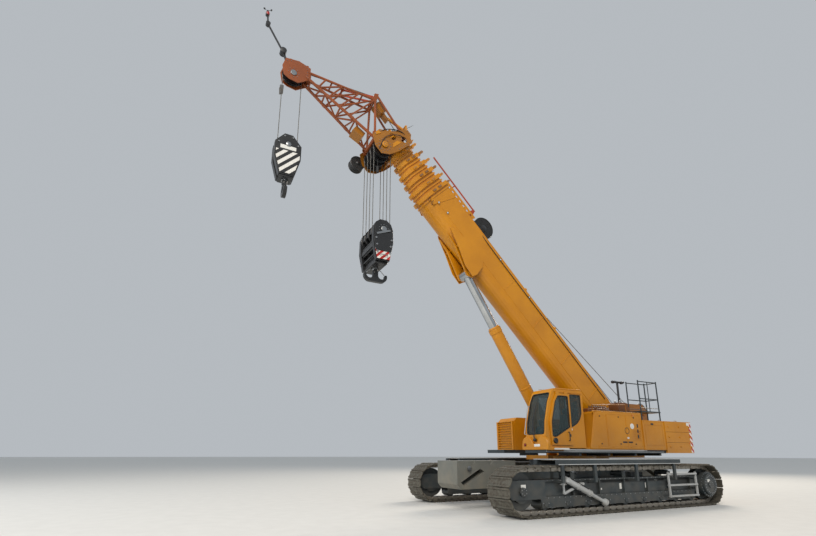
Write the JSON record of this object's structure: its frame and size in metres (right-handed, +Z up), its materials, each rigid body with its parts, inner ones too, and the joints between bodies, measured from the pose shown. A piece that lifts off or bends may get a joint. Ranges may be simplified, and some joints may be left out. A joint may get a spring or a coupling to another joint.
{
  "type": "telescopic crawler crane",
  "caption": "Crawler crane with a telescopic boom, short lattice jib, two hook blocks, a side cab, a rear counterweight and two long steel tracks.",
  "frame": {"origin": "on the ground under the middle of the whole crane's bounding box, in its stored pose", "axes": "+X forwards along the boom, +Y to the operator's left, +Z up"},
  "size_m": [16.1773, 5.71, 15.0895],
  "materials": {
    "yellow_paint": "semi-gloss golden yellow enamel, lightly dusty",
    "dark_yellow_paint": "semi-gloss ochre enamel in shade",
    "chassis_grey_paint": "satin dark blue-grey enamel, dusty",
    "track_steel": "worn grey-brown steel with dry earth",
    "silver_paint": "satin silver paint",
    "black_paint": "satin black enamel",
    "rod_chrome": "polished hard chrome",
    "ballast_grey_paint": "matt mid grey paint",
    "jib_orange_paint": "satin brownish orange enamel",
    "tie_red_paint": "satin orange-red enamel",
    "window_glass": "dark tinted glass",
    "seat_cloth": "dark woven cloth",
    "dark_plastic": "matt dark grey plastic",
    "rope_steel": "greased steel wire rope",
    "unit_red_paint": "red-brown primer paint",
    "engine_iron": "grey cast iron",
    "cable_black": "black rubber-sheathed cable on a drum"
  },
  "bodies": {
    "undercarriage": {"car_body": "chassis_grey_paint", "central_ballast": "ballast_grey_paint", "track_frame_left": "chassis_grey_paint", "track_frame_right": "chassis_grey_paint", "track_left": "track_steel", "track_right": "track_steel", "rollers_left": "chassis_grey_paint", "rollers_right": "chassis_grey_paint", "walkway_left": "chassis_grey_paint", "walkway_right": "chassis_grey_paint", "jack_left": "silver_paint", "jack_right": "silver_paint"},
    "superstructure": {"turntable": "yellow_paint", "side_decks": "chassis_grey_paint", "left_hood": "yellow_paint", "right_hood": "yellow_paint", "front_louvres": "yellow_paint", "rear_housing": "yellow_paint", "counterweight": "yellow_paint", "engine_block": "engine_iron", "cab_shell": "yellow_paint", "cab_glass": "window_glass", "cab_seat": "seat_cloth", "cab_console": "dark_plastic", "winch_frame": "dark_yellow_paint", "rear_railing": "chassis_grey_paint", "deck_units": "unit_red_paint"},
    "cab_door": {"cab_door": "yellow_paint", "cab_door_glass": "window_glass"},
    "winch_front": {"winch_drum_front": "rope_steel"},
    "winch_rear": {"winch_drum_rear": "rope_steel"},
    "boom_base": {"boom_base": "yellow_paint", "guide_rail": "tie_red_paint", "boom_reel": "cable_black"},
    "tele_1": {"boom_section_1": "yellow_paint"},
    "tele_2": {"boom_section_2": "yellow_paint"},
    "tele_3": {"boom_section_3": "yellow_paint"},
    "tele_4": {"boom_section_4": "yellow_paint"},
    "tele_5": {"boom_section_5": "yellow_paint", "boom_head": "yellow_paint", "head_reel": "cable_black", "jib_frame": "jib_orange_paint", "jib_ties": "tie_red_paint", "light_mast": "black_paint"},
    "head_sheaves": {"head_sheaves": "black_paint"},
    "jib_tip_sheave": {"jib_tip_sheave": "black_paint"},
    "lift_rod": {"lift_rod": "rod_chrome"},
    "lift_barrel": {"lift_barrel": "yellow_paint"},
    "main_rope": {"main_falls": "rope_steel"},
    "main_block": {"main_block": "black_paint"},
    "main_block_sheaves": {"main_block_sheaves": "black_paint"},
    "main_hook": {"main_hook": "black_paint"},
    "jib_rope": {"jib_falls": "rope_steel"},
    "jib_block": {"jib_block": "black_paint"},
    "jib_block_sheave": {"jib_block_sheave": "black_paint"},
    "jib_hook": {"jib_hook": "black_paint"}
  },
  "joints": [
    {"name": "slew", "type": "hinge", "parent": "undercarriage", "child": "superstructure", "pos_m": [-2.9726, 0, 1.42], "axis": [0, 0, 1], "continuous": true},
    {"name": "cab_door_slide", "type": "slide", "parent": "superstructure", "child": "cab_door", "axis": [-1, 0, 0], "range_m": [0, 0.6]},
    {"name": "winch_front_turn", "type": "hinge", "parent": "superstructure", "child": "winch_front", "pos_m": [-6.0326, 0, 3.17], "axis": [0, 1, 0], "continuous": true},
    {"name": "winch_rear_turn", "type": "hinge", "parent": "superstructure", "child": "winch_rear", "pos_m": [-6.9326, 0, 3.17], "axis": [0, 1, 0], "continuous": true},
    {"name": "boom_luff", "type": "hinge", "parent": "superstructure", "child": "boom_base", "pos_m": [-4.9426, 0, 3.06], "axis": [0, -1, 0], "range_deg": [-45.5, 36.5]},
    {"name": "telescope_1", "type": "slide", "parent": "boom_base", "child": "tele_1", "axis": [0.7009, 0, 0.7133], "range_m": [0, 9]},
    {"name": "telescope_2", "type": "slide", "parent": "tele_1", "child": "tele_2", "axis": [0.7009, 0, 0.7133], "range_m": [0, 9]},
    {"name": "telescope_3", "type": "slide", "parent": "tele_2", "child": "tele_3", "axis": [0.7009, 0, 0.7133], "range_m": [0, 9]},
    {"name": "telescope_4", "type": "slide", "parent": "tele_3", "child": "tele_4", "axis": [0.7009, 0, 0.7133], "range_m": [0, 9]},
    {"name": "telescope_5", "type": "slide", "parent": "tele_4", "child": "tele_5", "axis": [0.7009, 0, 0.7133], "range_m": [0, 9]},
    {"name": "head_sheaves_turn", "type": "hinge", "parent": "tele_5", "child": "head_sheaves", "pos_m": [4.2003, 0, 11.194], "axis": [0, 1, 0], "continuous": true},
    {"name": "jib_tip_sheave_turn", "type": "hinge", "parent": "tele_5", "child": "jib_tip_sheave", "pos_m": [7.1286, 0, 13.0497], "axis": [0, 1, 0], "continuous": true},
    {"name": "rod_swing", "type": "hinge", "parent": "boom_base", "child": "lift_rod", "pos_m": [0.8163, 0, 7.5935], "axis": [0, -1, 0], "range_deg": [-9.5, 8]},
    {"name": "cylinder_stroke", "type": "slide", "parent": "lift_rod", "child": "lift_barrel", "axis": [-0.5197, 0, -0.8544], "range_m": [-1.85, 1.5]},
    {"name": "main_rope_swing", "type": "hinge", "parent": "tele_5", "child": "main_rope", "pos_m": [4.2003, 0, 11.194], "axis": [0, -1, 0], "range_deg": [-37, 46]},
    {"name": "main_hoist", "type": "slide", "parent": "main_rope", "child": "main_block", "axis": [0, 0, -1], "range_m": [-1, 6.5], "deforming": ["main_falls"]},
    {"name": "main_block_sheaves_turn", "type": "hinge", "parent": "main_block", "child": "main_block_sheaves", "pos_m": [4.2003, 0, 8.21], "axis": [0, 1, 0], "continuous": true},
    {"name": "main_hook_swivel", "type": "hinge", "parent": "main_block", "child": "main_hook", "pos_m": [4.2003, 0, 7.21], "axis": [0, 0, 1], "continuous": true},
    {"name": "jib_rope_swing", "type": "hinge", "parent": "tele_5", "child": "jib_rope", "pos_m": [7.1286, 0, 13.0497], "axis": [0, -1, 0], "range_deg": [-37, 46]},
    {"name": "jib_hoist", "type": "slide", "parent": "jib_rope", "child": "jib_block", "axis": [0, 0, -1], "range_m": [-1, 8.5], "deforming": ["jib_falls"]},
    {"name": "jib_block_sheave_turn", "type": "hinge", "parent": "jib_block", "child": "jib_block_sheave", "pos_m": [7.1286, 0, 10.43], "axis": [0, 1, 0], "continuous": true},
    {"name": "jib_hook_swivel", "type": "hinge", "parent": "jib_block", "child": "jib_hook", "pos_m": [7.1286, 0, 9.43], "axis": [0, 0, 1], "continuous": true}
  ],
  "couplings": [
    {"joint": "rod_swing", "follows": "boom_luff", "ratio": 0.195},
    {"joint": "cylinder_stroke", "follows": "boom_luff", "m_per_rad": 2.245},
    {"joint": "main_rope_swing", "follows": "boom_luff", "ratio": -1},
    {"joint": "jib_rope_swing", "follows": "boom_luff", "ratio": -1}
  ]
}
